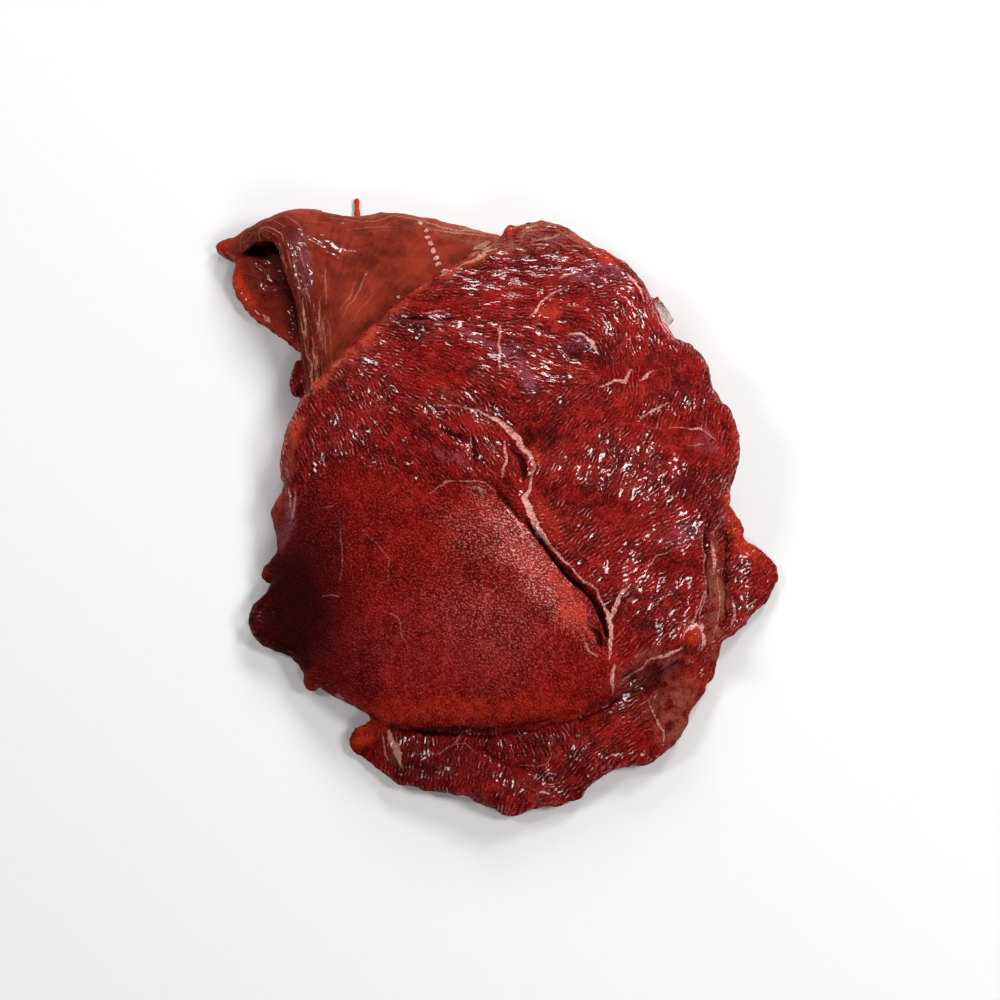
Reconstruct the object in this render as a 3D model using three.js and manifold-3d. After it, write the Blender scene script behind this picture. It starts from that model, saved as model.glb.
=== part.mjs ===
// A thick raw beef steak, cut across the round and lying with its cut face up. The slab rests partly on
// a thinner under muscle that spreads out at the front and right, with a tongue of meat at the far right.
// At the back left a skin-covered flap folds over a lower lip of meat and leaves a small open pocket.
// It is one piece of meat, so it is one solid. Millimetres, +Z up, +X right, +Y to the back, lying on z = 0.
import * as THREE from "three";
import { mergeVertices } from "three/addons/utils/BufferGeometryUtils.js";
import Module from "manifold-3d";

const wasm = await Module();
wasm.setup();

// Driving dimensions
const FACE_HEIGHT = 22; // height of the slab's rim at its middle
const FACE_DOME = 14; // how far the middle of the cut face stands over the rim
const FACE_HALF_WIDTH = 84; // where the dome ends to the left and right
const FACE_HALF_DEPTH = 93; // where it ends to the front and back
const FACE_TILT_X = 0.05; // rise of the rim for each millimetre to the right
const FACE_TILT_Y = 0.045; // rise of the rim for each millimetre to the back
const FACE_DROOP = 6; // how much further the left rim hangs down
const FACE_FOOT = 13; // gap beneath the slab's rim where it rests on the under muscle
const UNDER_HEIGHT = 10.4; // thickness of the under muscle near its rim
const UNDER_SWELL = 7; // how much thicker it is beneath the slab
const TIP_HEIGHT = 8; // thickness of the tongue at the far right
const TIP_TAPER = 3.5; // how much thinner it is at its end
const FLAP_HEIGHT = 20; // height of the folded flap
const FLAP_CROWN = 5; // how far the corner of its hood stands over that
const FLAP_THICKNESS = 4.5; // thickness of the flap over its pocket
const POCKET_REACH = 12; // how far the pocket reaches in under the flap's free edge
const LIP_HEIGHT = 6.5; // thickness of the lower lip under the flap
const SEAM_DEPTH = 9; // depth of the open seam in the cut face
const SEAM_WIDTH = 3.8; // its width where it gapes most
const LUMP = 0.9; // how uneven the soft surfaces are
const EDGE_STEPS = 8; // facets round a rounded edge
const HIDDEN_RINGS = 1; // rings of facets on a flat underside

// Outlines from above, in order round each muscle, as [x, y]
const FACE_OUTLINE = [
  [87, 19], [85, 5], [81, -12], [75, -23], [74, -42], [70, -57], [56, -68], [42, -76], [19, -84], [-5, -87],
  [-25, -87], [-38, -83], [-52, -75], [-66, -65], [-71, -58], [-80, -54], [-86, -48], [-84, -38], [-78, -32],
  [-81, -25], [-77, -18], [-79, -4], [-75, 5], [-77, 13], [-74, 28], [-68, 38], [-50, 57], [-31, 75],
  [-5, 92], [10, 102], [24, 102], [34, 95], [48, 86], [56, 76], [62, 64], [67, 56], [72, 55], [77, 45],
  [79, 36], [84, 30],
];
const UNDER_OUTLINE = [
  [83, -1], [83, -23], [81, -51], [76, -65], [68, -79], [63, -89], [50, -98], [43, -97], [37, -101],
  [28, -109], [18, -111], [6, -115], [-2, -111], [-19, -106], [-36, -102], [-39, -98], [-47, -93], [-52, -87],
  [-41, -82], [-50, -62], [-56, -20], [-45, 30], [0, 62], [50, 58], [76, 30],
];
const TIP_OUTLINE = [
  [83, 0], [87, -6], [89, -14], [94, -17], [101, -24], [99, -32], [90, -43], [82, -51], [70, -46], [63, -25],
  [70, -2],
];
const HOOD_OUTLINE = [
  [-80, 95], [-77, 87], [-73, 76], [-71, 68], [-70, 58], [-69, 50], [-67, 37], [-52, 32], [-28, 42], [0, 76],
  [7, 98], [-9, 104], [-34, 110], [-55, 109], [-71, 112], [-79, 110], [-85, 106], [-84, 99],
];
const CORNER_OUTLINE = [
  [-103, 101], [-98, 96], [-92, 95], [-87, 96], [-80, 95], [-73, 97], [-72, 106], [-83, 108], [-90, 106],
  [-97, 103],
];
const LIP_OUTLINE = [
  [-95, 95], [-97, 86], [-93, 79], [-87, 71], [-75, 63], [-69, 57], [-58, 56], [-56, 80], [-60, 99],
  [-75, 105], [-88, 104], [-95, 101],
];

// The flap's free edge over the pocket, from its left end round its raised corner to the slab
const FREE_EDGE = [[-98, 96], [-92, 95], [-80, 95], [-77, 87], [-71, 68], [-70, 58], [-67, 37]];
// Shallow valleys in the cut face where one muscle meets the next: line, depth and half width
const VALLEYS = [
  { line: [[-75, 3], [-40, 2], [-22, -5], [0, -8]], depth: 1.6, spread: 4 },
  { line: [[-20, 25], [-2, 22], [8, 12], [13, 0], [11, -12]], depth: 1.8, spread: 5 },
  { line: [[39, -52], [60, -36], [80, -30]], depth: 1.4, spread: 5 },
  { line: [[20, 40], [45, 32], [70, 38]], depth: 1.2, spread: 5 },
];
// The same in the under muscle that shows in front
const UNDER_VALLEYS = [{ line: [[-2, -93], [12, -97], [26, -103]], depth: 3, spread: 3.5 }];

// The open seam between the two largest muscles of the cut face, from its upper end to the front
const SEAM_LINE = [[4, -9], [13.5, -20.5], [23.5, -34.5], [34, -44.5], [38, -53], [39.5, -61]];

// Small scraps that hang from the edges: middle [x, y, z], half sizes, and turn about Z in degrees
const SCRAPS = [
  { at: [5.5, 97, 23], half: [2.8, 3.4, 3], turn: 0 },
  { at: [-64, -65.5, 4.6], half: [2.4, 4.6, 4.4], turn: 15 },
  { at: [-80, -27, 5.5], half: [2.2, 3.6, 3.4], turn: 10 },
  { at: [68.5, -57, 20.5], half: [3.8, 5.4, 3.6], turn: -20 },
  { at: [41, 88, 18], half: [5.6, 2.6, 2], turn: -35 },
  { at: [-71, 48, 4.4], half: [3.2, 7.5, 4.4], turn: 0 },
];
const STRAND = { x: -50.5, from: 98, to: 124.5, radius: 1.1 }; // a loose shred of meat behind the flap
const MEMBRANE = { at: [60, 67.5, 17], length: 11, width: 8, thickness: 1.3, turn: -40 }; // a torn bit of skin

const { smoothstep, degToRad, lerp } = THREE.MathUtils;

// A low, uneven swell of about one unit, made of a few crossing waves
function swell(x, y) {
  return (
    0.5 * Math.sin(x / 11 + y / 23 + 0.7) +
    0.35 * Math.sin(x / 17 - y / 9 + 2.1) +
    0.25 * Math.sin(x / 7 + y / 13 + 4.4)
  );
}

// How far a place is from a line of [x, y] points
function distanceTo(line, x, y) {
  const place = new THREE.Vector3(x, y, 0);
  const nearest = new THREE.Vector3();
  return Math.min(
    ...line.slice(1).map(([endX, endY], k) => {
      const stretch = new THREE.Line3(new THREE.Vector3(...line[k], 0), new THREE.Vector3(endX, endY, 0));
      return stretch.closestPointToPoint(place, true, nearest).distanceTo(place);
    }),
  );
}

// How deep the valleys are at a place
function valleyDepth(valleys, x, y) {
  return valleys.reduce((sum, v) => sum + v.depth * Math.exp(-((distanceTo(v.line, x, y) / v.spread) ** 2)), 0);
}

// A closed smooth curve through [x, y] points, sampled evenly and turning left
function roundTrip(outline, count) {
  const curve = new THREE.CatmullRomCurve3(outline.map(([x, y]) => new THREE.Vector3(x, y, 0)), true);
  const points = curve.getSpacedPoints(count).slice(0, count);
  return THREE.ShapeUtils.isClockWise(points) ? points.reverse() : points;
}

// A piece of meat inside an outline, with a rounded edge as wide as its shoulder. Its top and its foot
// are heights that depend on the place.
function muscle({ outline, columns, rings, middle, top, foot, shoulder, hiddenRings = HIDDEN_RINGS }) {
  const rim = roundTrip(outline, columns);
  const profile = [];
  for (let k = 0; k < hiddenRings; k++) profile.push({ inside: k / hiddenRings, turn: -Math.PI / 2 });
  for (let k = 0; k <= EDGE_STEPS; k++) profile.push({ inside: 1, turn: Math.PI * (k / EDGE_STEPS - 0.5) });
  for (let k = rings - 1; k >= 0; k--) profile.push({ inside: k / rings, turn: Math.PI / 2 });

  const geometry = new THREE.LatheGeometry(profile.map((p, k) => new THREE.Vector2(p.inside, k)), columns);
  const position = geometry.getAttribute("position");
  for (let i = 0; i <= columns; i++) {
    const edge = rim[i % columns];
    const border = shoulder(edge.x, edge.y) / Math.hypot(edge.x - middle[0], edge.y - middle[1]);
    profile.forEach(({ inside, turn }, j) => {
      const share = (1 - border) * inside + border * Math.cos(turn);
      const x = lerp(middle[0], edge.x, share);
      const y = lerp(middle[1], edge.y, share);
      position.setXYZ(i * profile.length + j, x, y, lerp(foot(x, y), top(x, y), (1 + Math.sin(turn)) / 2));
    });
  }
  return geometry;
}

// A three.js geometry as a closed solid that can be joined and cut
function solid(geometry) {
  const bare = geometry.clone();
  bare.deleteAttribute("normal");
  bare.deleteAttribute("uv");
  const merged = mergeVertices(bare, 1e-3);
  const corners = merged.index.array;
  const kept = [];
  for (let i = 0; i < corners.length; i += 3) {
    const [a, b, c] = [corners[i], corners[i + 1], corners[i + 2]];
    if (a !== b && b !== c && c !== a) kept.push(a, b, c);
  }
  return new wasm.Manifold(
    new wasm.Mesh({
      numProp: 3,
      vertProperties: merged.getAttribute("position").array,
      triVerts: new Uint32Array(kept),
    }),
  );
}

function faceTop(x, y) {
  const rim = FACE_HEIGHT + FACE_TILT_X * x + FACE_TILT_Y * y - FACE_DROOP * smoothstep(-x, 40, 85);
  const dome = FACE_DOME * Math.max(0, 1 - (x / FACE_HALF_WIDTH) ** 2 - (y / FACE_HALF_DEPTH) ** 2);
  return rim + dome + LUMP * swell(x, y) - valleyDepth(VALLEYS, x, y);
}

function faceFoot(x, y) {
  return FACE_FOOT * smoothstep(x, -55, -25) * (1 - smoothstep(y, 10, 55));
}

function faceSlab() {
  return solid(
    muscle({
      outline: FACE_OUTLINE,
      columns: 100,
      rings: 12,
      hiddenRings: 3,
      middle: [-8, 6],
      top: faceTop,
      foot: faceFoot,
      shoulder: (x, y) => 9 - 4 * smoothstep(y - 0.6 * x, 20, 70),
    }),
  );
}

function underTop(x, y) {
  const beneath = UNDER_SWELL * smoothstep(-Math.hypot(x - 12, y + 22), -67, -50);
  const leftEnd = 4 * smoothstep(-x, 30, 50);
  return UNDER_HEIGHT + beneath - leftEnd + 2 * LUMP * swell(x, y) - valleyDepth(UNDER_VALLEYS, x, y);
}

function underMuscle() {
  return solid(
    muscle({
      outline: UNDER_OUTLINE,
      columns: 80,
      rings: 6,
      middle: [12, -22],
      top: underTop,
      foot: () => 0,
      shoulder: () => 7,
    }),
  );
}

function farTip() {
  return solid(
    muscle({
      outline: TIP_OUTLINE,
      columns: 36,
      rings: 3,
      middle: [80, -25],
      top: (x, y) => TIP_HEIGHT - TIP_TAPER * smoothstep(x, 84, 100) + LUMP * swell(x, y),
      foot: () => 0,
      shoulder: () => 3,
    }),
  );
}

// The flap is highest at the corner of its hood, and falls towards its left end and the slab's left rim
function flapTop(x, y) {
  const crown = FLAP_CROWN * Math.exp(-(((x + 72) / 18) ** 2) - ((y - 92) / 16) ** 2);
  const leftEnd = 13 * smoothstep(-x, 82, 101);
  const front = 7 * smoothstep(-y, -70, -38);
  return FLAP_HEIGHT + crown - leftEnd - front + LUMP * swell(x, y);
}

// Its underside is on the ground, except along the free edge, where it rises to make the pocket
function flapFoot(x, y) {
  const nearEdge = 1 - smoothstep(distanceTo(FREE_EDGE, x, y), POCKET_REACH - 7, POCKET_REACH);
  const beforeBack = 1 - smoothstep(y, 99, 105);
  const pastEnds = smoothstep(x, -97, -91) * smoothstep(y, 50, 66);
  return Math.max(0, flapTop(x, y) - FLAP_THICKNESS) * nearEdge * beforeBack * pastEnds;
}

// Wide at the back, where the flap rolls down to the ground, and narrow along the free edge
function flapShoulder(x, y) {
  return 2.4 + 6 * smoothstep(distanceTo(FREE_EDGE, x, y), 1, 12);
}

function foldedFlap() {
  const shape = { top: flapTop, foot: flapFoot, shoulder: flapShoulder };
  const hood = muscle({ ...shape, outline: HOOD_OUTLINE, columns: 64, rings: 6, hiddenRings: 6, middle: [-48, 76] });
  const corner = muscle({
    ...shape,
    outline: CORNER_OUTLINE,
    columns: 32,
    rings: 2,
    hiddenRings: 2,
    middle: [-84, 101],
  });
  return solid(hood).add(solid(corner));
}

function lowerLip() {
  return solid(
    muscle({
      outline: LIP_OUTLINE,
      columns: 32,
      rings: 3,
      middle: [-76, 80],
      top: (x, y) => LIP_HEIGHT + LUMP * swell(2 * x, 2 * y),
      foot: () => 0,
      shoulder: () => 3.5,
    }),
  );
}

// A slit with upright walls that gapes most past its middle and closes at both ends
function openSeam() {
  const line = new THREE.CatmullRomCurve3(SEAM_LINE.map(([x, y]) => new THREE.Vector3(x, y, 0)));
  const steps = 16;
  const left = [];
  const right = [];
  for (let k = 0; k <= steps; k++) {
    const share = k / steps;
    const point = line.getPointAt(share);
    const along = line.getTangentAt(share);
    const half = 0.15 + (SEAM_WIDTH / 2) * Math.sin(Math.PI * share ** 1.4);
    left.push([point.x - along.y * half, point.y + along.x * half]);
    right.unshift([point.x + along.y * half, point.y - along.x * half]);
  }
  const shape = new THREE.Shape([...left, ...right].map(([x, y]) => new THREE.Vector2(x, y)));
  const slit = new THREE.ExtrudeGeometry(shape, { depth: 2 * FACE_HEIGHT, bevelEnabled: false });
  return solid(slit.translate(0, 0, FACE_HEIGHT + FACE_DOME - SEAM_DEPTH - 4));
}

function scrap({ at, half, turn }) {
  const lump = new THREE.SphereGeometry(1, 12, 7).scale(...half).rotateZ(degToRad(turn));
  return solid(lump.translate(...at));
}

function strand({ x, from, to, radius }) {
  const points = [];
  for (let y = from; y <= to; y += 3) points.push(new THREE.Vector3(x + 0.8 * Math.sin(y / 4), y, radius));
  const section = new THREE.Shape().absarc(0, 0, radius, 0, 2 * Math.PI);
  const extrudePath = new THREE.CatmullRomCurve3(points);
  return solid(new THREE.ExtrudeGeometry(section, { steps: 9, curveSegments: 8, extrudePath }));
}

// A thin wavy plate, narrower at its far end
function membrane({ at, length, width, thickness, turn }) {
  const plate = new THREE.BoxGeometry(length, width, thickness, 6, 5, 1);
  const position = plate.getAttribute("position");
  for (let i = 0; i < position.count; i++) {
    const [x, y] = [position.getX(i), position.getY(i)];
    position.setZ(i, position.getZ(i) + 0.9 * Math.sin(x / 1.7 + y / 2.3));
    position.setY(i, y * (1 - 0.06 * x));
  }
  return solid(plate.rotateY(degToRad(18)).rotateZ(degToRad(turn)).translate(...at));
}

// A solid as a three.js geometry
function geometryOf(made) {
  const mesh = made.getMesh();
  const points = new Float32Array(mesh.numVert * 3);
  for (let i = 0; i < mesh.numVert; i++) {
    const start = i * mesh.numProp;
    points.set(mesh.vertProperties.subarray(start, start + 3), i * 3);
  }
  const geometry = new THREE.BufferGeometry();
  geometry.setAttribute("position", new THREE.BufferAttribute(points, 3));
  geometry.setIndex(new THREE.BufferAttribute(new Uint32Array(mesh.triVerts), 1));
  return geometry;
}

let meat = faceSlab().subtract(openSeam()).add(underMuscle()).add(farTip()).add(foldedFlap()).add(lowerLip());
for (const piece of SCRAPS) meat = meat.add(scrap(piece));
meat = meat.add(strand(STRAND)).add(membrane(MEMBRANE));

// The origin is the middle of the steak's box, on the surface that it lies on
const geometry = geometryOf(meat);
geometry.computeBoundingBox();
const centre = geometry.boundingBox.getCenter(new THREE.Vector3());
geometry.translate(-centre.x, -centre.y, -geometry.boundingBox.min.z);
geometry.computeVertexNormals();

const steak = new THREE.Mesh(
  geometry,
  new THREE.MeshStandardMaterial({ color: 0x7d1f1a, roughness: 0.3, metalness: 0 }),
);
steak.name = "beef_steak";

const part = new THREE.Group();
part.add(steak);

export default part;
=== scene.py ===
import math
from types import SimpleNamespace

import bmesh
import bpy
import numpy as np
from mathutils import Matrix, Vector
from mathutils.bvhtree import BVHTree


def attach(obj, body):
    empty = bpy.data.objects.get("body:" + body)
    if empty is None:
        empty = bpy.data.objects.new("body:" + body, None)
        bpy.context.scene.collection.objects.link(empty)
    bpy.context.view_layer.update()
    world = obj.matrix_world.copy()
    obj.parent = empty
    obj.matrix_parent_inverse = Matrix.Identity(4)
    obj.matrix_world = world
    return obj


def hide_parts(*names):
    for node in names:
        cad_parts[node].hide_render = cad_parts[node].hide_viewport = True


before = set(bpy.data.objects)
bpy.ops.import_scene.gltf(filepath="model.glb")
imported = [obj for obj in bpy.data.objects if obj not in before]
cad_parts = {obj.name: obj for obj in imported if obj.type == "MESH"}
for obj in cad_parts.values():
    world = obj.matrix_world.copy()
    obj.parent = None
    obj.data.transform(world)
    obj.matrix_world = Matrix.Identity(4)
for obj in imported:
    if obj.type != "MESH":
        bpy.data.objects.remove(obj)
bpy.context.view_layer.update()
mm = 0.001

# Places are in millimetres in the frame of the steak, until a mesh is written.

# Where one muscle meets the next, seen from above
outlines = {
    "slab": [(88, 15), (86, 1), (82, -16), (76, -27), (75, -46), (71, -61), (57, -72), (43, -80), (20, -88),
             (-4, -91), (-24, -91), (-37, -87), (-51, -79), (-65, -69), (-70, -62), (-79, -58), (-85, -52),
             (-83, -42), (-77, -36), (-80, -29), (-76, -22), (-78, -8), (-74, 1), (-76, 9), (-73, 24),
             (-67, 34), (-49, 53), (-30, 71), (-4, 88), (11, 98), (25, 98), (35, 91), (49, 82), (57, 72),
             (63, 60), (68, 52), (73, 51), (78, 41), (80, 32), (85, 26)],
    "fineMuscle": [(-90, -12), (-72, -4), (-57, 2), (-40, -1), (-22, -10), (-12, -7), (-2, -7), (4, -13),
                   (13, -24), (23, -38), (34, -48), (38, -58), (41, -68), (44, -82), (20, -100), (-60, -100),
                   (-100, -60)],
    "hood": [(-79, 91), (-76, 83), (-72, 72), (-70, 64), (-69, 54), (-68, 46), (-66, 33), (-40, 20), (8, 80),
             (8, 94), (-8, 100), (-33, 106), (-54, 105), (-70, 108), (-78, 106), (-102, 97), (-97, 92),
             (-91, 91)],
    "lip": [(-97, 91), (-96, 82), (-92, 75), (-86, 67), (-74, 59), (-68, 53), (-57, 52), (-55, 76), (-59, 95),
            (-74, 101), (-87, 100), (-94, 97)],
    "backEdge": [(-102, 97), (-90, 103), (-78, 107), (-70, 108), (-54, 105), (-33, 106), (-8, 100), (4, 96),
                 (11, 98), (25, 98), (35, 91), (49, 82)],
    "freeEdge": [(-82, 94), (-78, 91), (-75, 80), (-71.5, 68), (-69, 56), (-68, 46), (-66.5, 35)],
    "openSeam": [(5, -13), (14.5, -24.5), (24.5, -38.5), (35, -48.5), (39, -57), (40.5, -65)],
}


def smooth(value, low, high):
    share = np.clip((value - low) / (high - low), 0, 1)
    return share * share * (3 - 2 * share)


def over(place, low, high):  # one over a height, and none under a lower one
    return smooth(place[:, 2], low, high)


def under(place, low, high):
    return smooth(-place[:, 2], -high, -low)


def stretches(place, line):  # for each stretch of a line the nearest point, as a share, and the way from it
    line = np.array(line, float)[:, :2]
    for start, end in zip(line, line[1:]):
        step = end - start
        share = np.clip(((place[:, :2] - start) @ step) / (step @ step), 0, 1)
        yield share, place[:, :2] - start - share[:, None] * step


def gapToLine(place, line):  # distance in XY
    best = np.full(len(place), np.inf)
    for _, offset in stretches(place, line):
        best = np.minimum(best, np.linalg.norm(offset, axis=1))
    return best


def insideDepth(place, outline):  # distance to an outline, positive inside it
    gap = gapToLine(place, outline + outline[:1])
    inside = np.zeros(len(place), bool)
    x, y = place[:, 0], place[:, 1]
    for (x0, y0), (x1, y1) in zip(outline, outline[1:] + outline[:1]):
        crosses = (y0 > y) != (y1 > y)
        inside ^= crosses & (x < x0 + (y - y0) * (x1 - x0) / ((y1 - y0) or 1))
    return np.where(inside, gap, -gap)


def hashed(cell, salt):  # the same pseudo-random number from 0 to 1 for a lattice cell in every run
    x, y, z = cell.astype(np.int64).T
    mixed = (x * 374761393 + y * 668265263 + z * 69069 + salt * 362437) % 2**32  # by any large odd numbers
    mixed = ((mixed ^ (mixed >> 13)) * 1274126177) % 2**32
    return ((mixed ^ (mixed >> 16)) % 2**24) / 2**24


def noise(place, size, salt=0):  # smooth noise from -1 to 1 with lumps of that size
    spot = place / size
    cell = np.floor(spot)
    part = spot - cell
    part = part * part * (3 - 2 * part)
    total = np.zeros(len(place))
    for corner in np.ndindex(2, 2, 2):
        weight = np.prod(np.where(corner, part, 1 - part), axis=1)
        total += weight * hashed(cell + np.array(corner), salt)
    return 2 * total - 1


def layered(place, size, salt=0, layers=3):
    return sum(noise(place, size / 2**k, salt + k) / 2**k for k in range(layers))


patchEdge = {"wander": 2.2, "lumps": 8}  # how far the edge of a patch wanders, and in lumps of what size


def patches(place, spots, edge=0.5):  # the strongest of uneven oval patches
    wander = [layered(place, patchEdge["lumps"], salt, 2) for salt in (40, 50)]
    place = place[:, :2] + patchEdge["wander"] * np.stack(wander, axis=1)
    strongest = np.zeros(len(place))
    for x, y, halfLength, halfWidth, turn, strength in spots:
        offset = place - (x, y)
        turn = math.radians(turn)
        along = offset @ (math.cos(turn), math.sin(turn))
        across = offset @ (-math.sin(turn), math.cos(turn))
        reach = np.hypot(along / halfLength, across / halfWidth)
        strongest = np.maximum(strongest, strength * smooth(-reach, -1 - edge, -1 + edge))
    return strongest


# The direction in which the fibre bundles run, in degrees from the X axis
grainAt = [((-50, 25), 115), ((-62, 10), 110), ((-40, 48), 160), ((-20, 55), 170), ((0, 62), 178),
           ((30, 75), 185), ((20, 40), 165), ((-20, 30), 150), ((-10, 12), 120), ((28, 15), 50),
           ((42, 3), 62), ((55, -4), 55), ((62, -22), 25), ((70, -8), 60), ((65, -40), 38), ((75, 25), 75),
           ((55, 45), 100), ((58, -50), 50), ((45, -35), 40), ((-30, -40), 170), ((0, -35), 158),
           ((-5, -70), 140), ((-60, -40), 165), ((25, -68), 130), ((-40, -70), 150), ((-30, -99), 85),
           ((-5, -103), 75), ((14, -94), 115), ((22, -108), 40), ((50, -82), 30), ((65, -82), 75)]
grain = {
    "blend": 40,  # how softly one direction passes into the next, in square millimetres
    "start": 20,  # angles run from here to half a turn more, a range whose ends no bundle has
}


def grainAngle(place):
    turn = np.zeros(len(place), complex)
    for (x, y), angle in grainAt:
        weight = 1 / ((place[:, 0] - x) ** 2 + (place[:, 1] - y) ** 2 + grain["blend"]) ** 2
        turn += weight * np.exp(2j * math.radians(angle))
    start = math.radians(grain["start"])
    return np.mod(np.angle(turn) / 2 - start, math.pi) + start


# The steak itself: a copy of the solid, remeshed finely and carved
steak = {
    "voxel": 0.62,  # spacing of the fine mesh
    "smoothing": 16,  # passes that take the facets of the solid away
    "triangles": 194000,
    "bundleHeight": 0.24,  # height of the fibre bundles where the face is wettest
    "bundleLength": 2.4,
    "bundleWidth": 0.7,
    "bundleSpacing": 1.15,
    "bundleTurn": 0.22,  # how unevenly they lie, in radians
    "rasterCell": 0.3,  # of the raster that they are stamped on
    "dryBundles": 0.25,  # how much of their height is left where the face is dry
    "fineFlatness": 0.8,  # how much flatter they are on the fine muscle
    "skinFlatness": 0.9,
    "undersideFlatness": 0.8,
    "lumpHeight": 0.5,
    "lumpSize": 9,
    "rimRoughness": 0.85,
    "rimLumpSize": 4.5,
    "edgeLumps": 0.6,  # along the free edge of the flap
    "edgeLumpSize": 3.5,
    "edgeReach": 8,  # how far from that edge they go
    "seamClosing": 0.7,  # how far each wall of the open seam is drawn in
    "seamHalfWidth": 1.9,
    "seamFade": 5,  # how far behind its walls the meat is drawn along
    "seamGape": 1.4,  # above one, it gapes most past its middle
    "markMargin": 1.2,  # how far beside a marked line the mesh stays fine
    "shelter": 25,  # how far off the meat still shades what is beneath it
}
# Where the cut face is wet and open, where it is smooth, and where skin covers it:
# x, y, half length, half width, turn in degrees, strength
wetPatches = [(-18, 53, 22, 6, -8, 1), (-45, 28, 24, 12, 62, 0.6), (-46, 44, 12, 5, 45, 0.8),
              (18, 42, 24, 14, 20, 0.55), (-5, 33, 8, 6, 0, 1), (-14, 22, 16, 5, -10, 0.85),
              (10, 78, 34, 11, 0, 0.35), (46, 64, 14, 12, -40, 0.35), (41, -1, 12, 11, 60, 1),
              (56, -2, 14, 11, 50, 1), (63, -23, 10, 6, 20, 0.8), (21, 0, 7, 5, 30, 0.8),
              (32, -26, 20, 12, -50, 0.45), (57, -45, 18, 13, 30, 0.35), (78, -2, 5, 18, 0, 0.45),
              (12, -94, 16, 4, 0, 0.9), (32, -96, 12, 6, 0, 0.6), (-18, -98, 18, 9, 0, 0.55),
              (18, -108, 9, 5, 0, 0.95), (50, -80, 10, 5, 20, 0.85), (87, -27, 5, 5, 0, 0.7),
              (86, -40, 5, 12, 0, 0.9), (-69, 82, 5, 12, 12, 1), (-58, 89, 8, 3.5, -10, 0.9),
              (-83, 84.5, 6, 5, 0, 1.3), (-4, 5, 9, 7, 0, 0.55)]
smoothPatches = [(-13, 32, 4, 3, 0, 1), (62, 36, 11, 9, 0, 0.95), (70, 8, 11, 6, -10, 0.95),
                 (37, -15, 13, 5, -20, 1), (17, 10, 10, 5, 0, 0.8), (64, -34, 9, 4, 10, 0.7),
                 (30, 52, 6, 4, 0, 0.4), (-28, 42, 5, 3, 20, 0.5), (65, -84, 11, 15, 0, 1),
                 (-43, -93, 8, 6, 0, 0.8), (79, -42, 3.5, 20, 0, 0.8), (5, -97, 20, 5, 0, 0.3),
                 (-40, -98, 10, 6, -20, 0.5)]
skinPatches = [(-7, 82.5, 8, 3.5, 35, 0.9)]
# Lines pressed into the surface, or raised where the depth is below zero: points, depth, half width
folds = {
    "seam": ([(-9, 21.5), (2, 16.5), (9.5, 8), (14.5, -2), (11.5, -13), (17, -25.5)], 0.5, 1.6),
    "crack": ([(3, -12), (8.5, -18.5), (13.5, -24.5), (23.5, -38), (34, -48), (38.5, -58), (39.5, -64)],
               0.5, 0.9),
    "overFine": ([(-22, -10.5), (-12.5, -6.5), (-2, -7), (5, -14)], 0.4, 1.4),
    "hollowLeft": ([(-19, 14), (-12.5, 9.5), (-8, 7.5)], 1.2, 1.5),
    "hollowUpright": ([(-6.5, 8), (-6, 2.5), (-6.5, -2)], 1.2, 1),
    "hollowSeam": ([(8, 5), (11, 0), (11.5, -5)], 1.6, 1.4),
    "hollowCrack": ([(3, -12), (6, -15), (9, -19)], 1.2, 1.1),
    "crackFloor": ([(22, -36), (25, -39.5), (30, -44.5), (35, -49.5), (37.8, -54), (39, -58)], -2.3, 1.3),
    "hole": ([(34, -56.5), (36.5, -60), (38, -63.5)], 2.4, 1.4),
    "blueGap": ([(-7.5, -9.5), (-4.5, -11), (-2.5, -13)], 0.9, 0.9),
    "backRidge": ([(14, 56), (17, 60), (21, 64.5), (26, 67.5)], -0.9, 1.3),
    "backCrease": ([(-34, 58), (-26, 57), (-17, 55), (-8, 55)], 0.9, 1.3),
    "lilac": ([(-7.5, 49), (-2, 46.5), (3, 42.5), (8.5, 36.5), (14.5, 27.5)], 0.5, 2.2),
    "oval": ([(25, 44), (28, 40.5), (33, 40.5), (36, 44)], 0.8, 1.3),
    "rightCrease": ([(52, 17), (58, 20.5), (63, 24)], 0.6, 1),
    "rimCrease": ([(64, 6), (73, 15), (82, 10)], 0.4, 1.5),
    "rimHollow": ([(66, -12), (71, -8), (73, 2)], 0.9, 2.2),
    "front": ([(48, -75), (55, -70), (66, -63)], 0.8, 1.5),
    "underCrease": ([(-2, -94.5), (2, -99), (10, -101.5), (17, -104.5), (23.5, -107)], 1.1, 1.1),
    "underSeam": ([(57.5, -75), (56, -86), (58.5, -91), (59.5, -96.5)], 0.5, 1),
    "underHollow": ([(-34, -100), (-26, -103), (-18, -104)], 1.2, 2.5),
    "groove": ([(-38.5, -87), (-29.5, -89.3), (-10.5, -90.8), (5, -90.8), (20.5, -87.8), (30.5, -85.8),
                (41, -81.2)], 0.6, 1),
    "stripGroove": ([(76.5, -18), (75, -23.5), (75, -32), (76, -37), (75, -43)], 1.1, 0.9),
    "tipEdge": ([(83.5, -18), (83, -29.5), (82, -42), (81.5, -51)], 0.8, 0.8),
    "nub": ([(70.5, -56.5), (70, -61)], -1.0, 2.4),
    "freeEdge": (outlines["freeEdge"][:5], -0.7, 1.6),
    "edgeRidge1": ([(-66, 98), (-67, 84), (-65, 70), (-64, 55), (-63, 42)], -0.5, 1),
    "edgeRidge2": ([(-61.5, 78), (-62, 66), (-62.5, 52), (-62, 38)], 0.5, 0.8),
    "edgeRidge3": ([(-72, 88), (-69.5, 76), (-67, 64), (-65.5, 50)], 0.5, 0.8),
    "hoodCrease": ([(-53.5, 88), (-49.5, 88), (-44.5, 89), (-38, 92)], 0.6, 0.9),
}
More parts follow.
